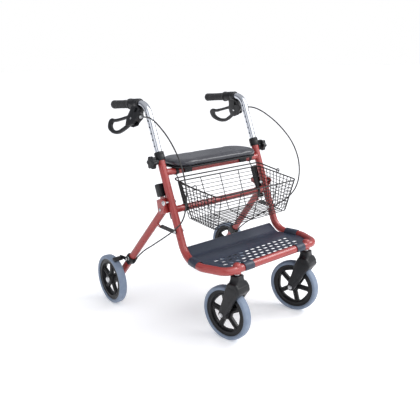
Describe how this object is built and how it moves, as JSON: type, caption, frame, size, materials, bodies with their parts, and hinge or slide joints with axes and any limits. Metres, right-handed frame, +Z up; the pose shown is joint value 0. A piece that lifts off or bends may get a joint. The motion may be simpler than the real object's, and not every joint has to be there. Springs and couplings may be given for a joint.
{
  "type": "rollator walker",
  "caption": "Wheeled walking frame with padded seat, wire basket, foot tray, height-adjustable handles with brake levers, swivel front casters and folding rear legs.",
  "frame": {"origin": "on the floor under the middle of the whole walker", "axes": "+Z up, -Y the way the walker rolls forwards, +X the user's left"},
  "size_m": [0.7, 0.7469, 0.8267],
  "materials": {
    "frame": "glossy brick-red paint",
    "chrome": "chromed tube",
    "steel": "zinc-plated fasteners",
    "plastic": "black moulded plastic",
    "tray": "satin dark slate",
    "grip": "soft black rubber",
    "tyre": "solid blue-grey tyre",
    "rim": "black nylon",
    "vinyl": "black vinyl with a sheen",
    "wire": "plastic-coated black wire",
    "cable": "black cable sleeve"
  },
  "bodies": {
    "frame": {"front_frame": "frame", "seat_cross_tube": "frame", "lower_cross_tube": "frame", "tray": "tray", "seat_base": "plastic", "seat_cushion": "vinyl", "hinge_bracket_L": "frame", "hinge_pin_L": "steel", "bracket_bolt_L": "steel", "strut_bolt_L": "steel", "clamp_collar_L": "plastic", "basket_strap_L": "plastic", "brake_cable_L": "cable", "hinge_bracket_R": "frame", "hinge_pin_R": "steel", "bracket_bolt_R": "steel", "strut_bolt_R": "steel", "clamp_collar_R": "plastic", "basket_strap_R": "plastic", "brake_cable_R": "cable"},
    "basket": {"basket": "wire"},
    "bail": {"basket_bail": "wire"},
    "handle_L": {"handle_tube_L": "chrome", "grip_L": "grip", "brake_housing_L": "plastic", "lever_pin_L": "steel"},
    "lever_L": {"brake_lever_L": "plastic"},
    "knob_L": {"height_knob_L": "plastic"},
    "release_L": {"fold_release_L": "plastic"},
    "strut_L": {"strut_L": "plastic"},
    "leg_L": {"rear_leg_L": "frame", "brake_bracket_L": "plastic", "rear_axle_L": "steel"},
    "brake_arm_L": {"brake_arm_L": "plastic"},
    "rear_wheel_L": {"rear_rim_L": "rim", "rear_tyre_L": "tyre"},
    "caster_L": {"caster_stem_L": "steel", "caster_fork_L": "plastic", "caster_axle_L": "steel"},
    "caster_wheel_L": {"caster_rim_L": "rim", "caster_tyre_L": "tyre"},
    "handle_R": {"handle_tube_R": "chrome", "grip_R": "grip", "brake_housing_R": "plastic", "lever_pin_R": "steel"},
    "lever_R": {"brake_lever_R": "plastic"},
    "knob_R": {"height_knob_R": "plastic"},
    "release_R": {"fold_release_R": "plastic"},
    "strut_R": {"strut_R": "plastic"},
    "leg_R": {"rear_leg_R": "frame", "brake_bracket_R": "plastic", "rear_axle_R": "steel"},
    "brake_arm_R": {"brake_arm_R": "plastic"},
    "rear_wheel_R": {"rear_rim_R": "rim", "rear_tyre_R": "tyre"},
    "caster_R": {"caster_stem_R": "steel", "caster_fork_R": "plastic", "caster_axle_R": "steel"},
    "caster_wheel_R": {"caster_rim_R": "rim", "caster_tyre_R": "tyre"}
  },
  "joints": [
    {"name": "basket_lift", "type": "slide", "parent": "frame", "child": "basket", "axis": [0, 0, 1], "range_m": [0, 0.012]},
    {"name": "bail_swing", "type": "hinge", "parent": "basket", "child": "bail", "pos_m": [0, -0.141, 0.531], "axis": [1, 0, 0], "range_deg": [0, 8]},
    {"name": "handle_height_L", "type": "slide", "parent": "frame", "child": "handle_L", "axis": [0, 0.3584, 0.9336], "range_m": [-0.05, 0.05], "deforming": ["brake_cable_L"]},
    {"name": "lever_squeeze_L", "type": "hinge", "parent": "handle_L", "child": "lever_L", "pos_m": [0.25792, 0.1511, 0.75158], "axis": [0.9453, 0.0228, 0.3255], "range_deg": [0, 14], "stiffness_Nm_per_rad": 1, "springref_deg": -8.59},
    {"name": "knob_turn_L", "type": "hinge", "parent": "frame", "child": "knob_L", "pos_m": [0.239, 0.01494, 0.609], "axis": [1, 0, 0], "continuous": true},
    {"name": "release_pull_L", "type": "slide", "parent": "frame", "child": "release_L", "axis": [0, 0.3584, 0.9336], "range_m": [0, 0.01], "stiffness_N_per_m": 300, "springref_m": -0.005},
    {"name": "leg_fold_L", "type": "hinge", "parent": "frame", "child": "leg_L", "pos_m": [0.253, -0.015, 0.44], "axis": [-1, 0, 0], "range_deg": [0, 60], "deforming": ["brake_cable_L"]},
    {"name": "strut_swing_L", "type": "hinge", "parent": "frame", "child": "strut_L", "pos_m": [0.257, -0.07796, 0.367], "axis": [-1, 0, 0], "range_deg": [0, 114]},
    {"name": "brake_press_L", "type": "hinge", "parent": "leg_L", "child": "brake_arm_L", "pos_m": [0.303, 0.18537, 0.20346], "axis": [-1, 0, 0], "range_deg": [0, 4]},
    {"name": "rear_wheel_spin_L", "type": "hinge", "parent": "leg_L", "child": "rear_wheel_L", "pos_m": [0.325, 0.273, 0.1], "axis": [0.9986, 0.0523, 0], "continuous": true},
    {"name": "caster_swivel_L", "type": "hinge", "parent": "frame", "child": "caster_L", "pos_m": [0.18, -0.32, 0.2], "axis": [0, 0, 1], "continuous": true},
    {"name": "caster_wheel_spin_L", "type": "hinge", "parent": "caster_L", "child": "caster_wheel_L", "pos_m": [0.17023, -0.27403, 0.1], "axis": [0.9781, 0.2079, 0], "continuous": true},
    {"name": "handle_height_R", "type": "slide", "parent": "frame", "child": "handle_R", "axis": [0, 0.3584, 0.9336], "range_m": [-0.05, 0.05], "deforming": ["brake_cable_R"]},
    {"name": "lever_squeeze_R", "type": "hinge", "parent": "handle_R", "child": "lever_R", "pos_m": [-0.25792, 0.1511, 0.75158], "axis": [0.9453, -0.0228, -0.3255], "range_deg": [0, 14], "stiffness_Nm_per_rad": 1, "springref_deg": -8.59},
    {"name": "knob_turn_R", "type": "hinge", "parent": "frame", "child": "knob_R", "pos_m": [-0.239, 0.01494, 0.609], "axis": [-1, 0, 0], "continuous": true},
    {"name": "release_pull_R", "type": "slide", "parent": "frame", "child": "release_R", "axis": [0, 0.3584, 0.9336], "range_m": [0, 0.01], "stiffness_N_per_m": 300, "springref_m": -0.005},
    {"name": "leg_fold_R", "type": "hinge", "parent": "frame", "child": "leg_R", "pos_m": [-0.253, -0.015, 0.44], "axis": [-1, 0, 0], "range_deg": [0, 60], "deforming": ["brake_cable_R"]},
    {"name": "strut_swing_R", "type": "hinge", "parent": "frame", "child": "strut_R", "pos_m": [-0.257, -0.07796, 0.367], "axis": [-1, 0, 0], "range_deg": [0, 114]},
    {"name": "brake_press_R", "type": "hinge", "parent": "leg_R", "child": "brake_arm_R", "pos_m": [-0.303, 0.18537, 0.20346], "axis": [-1, 0, 0], "range_deg": [0, 4]},
    {"name": "rear_wheel_spin_R", "type": "hinge", "parent": "leg_R", "child": "rear_wheel_R", "pos_m": [-0.325, 0.273, 0.1], "axis": [-0.9986, 0.0523, 0], "continuous": true},
    {"name": "caster_swivel_R", "type": "hinge", "parent": "frame", "child": "caster_R", "pos_m": [-0.18, -0.32, 0.2], "axis": [0, 0, 1], "continuous": true},
    {"name": "caster_wheel_spin_R", "type": "hinge", "parent": "caster_R", "child": "caster_wheel_R", "pos_m": [-0.18573, -0.27335, 0.1], "axis": [0.9925, 0.1219, 0], "continuous": true}
  ],
  "couplings": [
    {"joint": "strut_swing_L", "follows": "leg_fold_L", "ratio": 1.885},
    {"joint": "brake_press_L", "follows": "lever_squeeze_L", "ratio": 0.25},
    {"joint": "strut_swing_R", "follows": "leg_fold_R", "ratio": 1.885},
    {"joint": "brake_press_R", "follows": "lever_squeeze_R", "ratio": 0.25}
  ]
}
